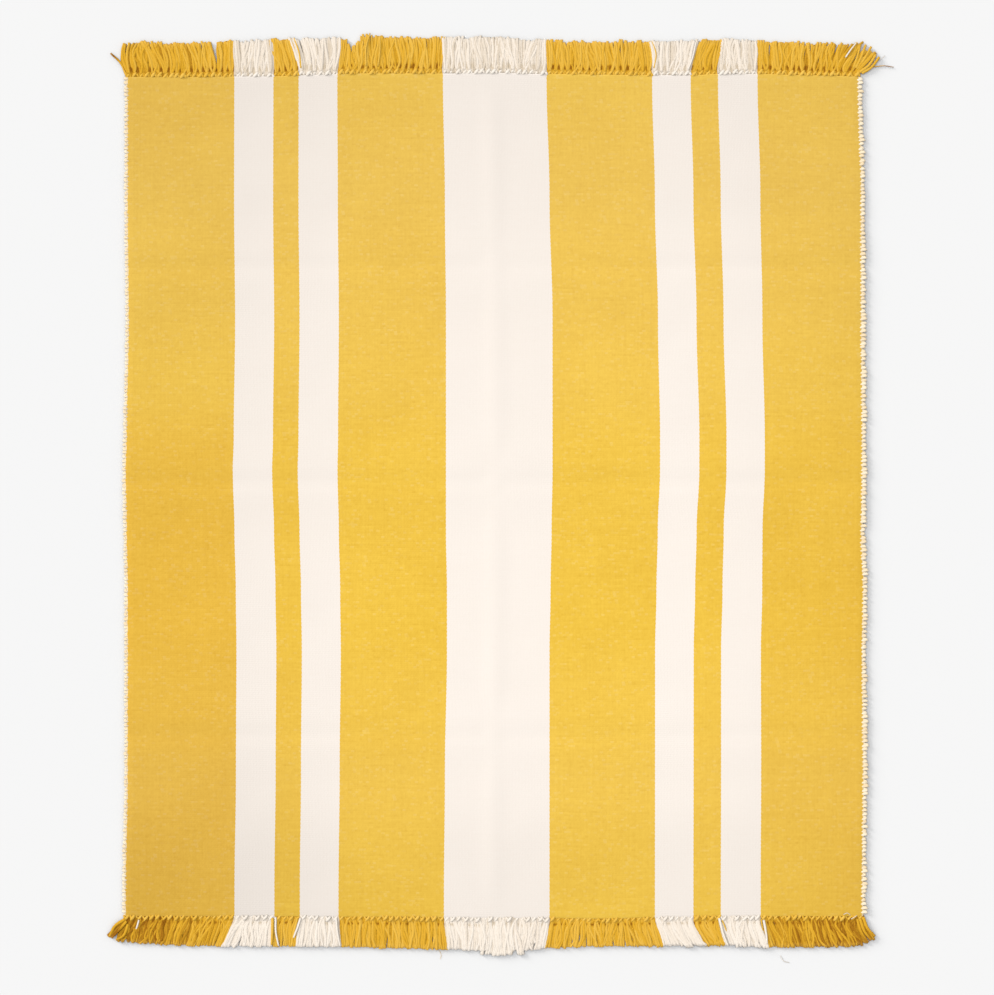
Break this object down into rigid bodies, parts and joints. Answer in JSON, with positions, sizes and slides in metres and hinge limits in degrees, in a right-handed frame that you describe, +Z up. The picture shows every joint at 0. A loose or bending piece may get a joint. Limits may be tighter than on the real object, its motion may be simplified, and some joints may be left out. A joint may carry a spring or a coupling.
{
  "type": "cotton rug",
  "caption": "Flat-woven striped cotton rug lying flat, with yellow and off-white lengthwise stripes, a knotted heading and a short yarn fringe at each end.",
  "frame": {"origin": "under the middle of the rug's outline, on the plane that the rug lies on", "axes": "+Y along the rug's length and its stripes, towards the end that is at the top of the picture; +X across it, to the picture's right; +Z up"},
  "size_m": [1.2693, 1.5236, 0.0054],
  "materials": {
    "yellow_cotton": "matt dyed cotton yarn, flat woven",
    "natural_cotton": "matt undyed cotton yarn, flat woven"
  },
  "bodies": {
    "root": {"woven_field": "yellow_cotton", "far_fringe": "yellow_cotton", "near_fringe": "yellow_cotton"}
  },
  "joints": []
}
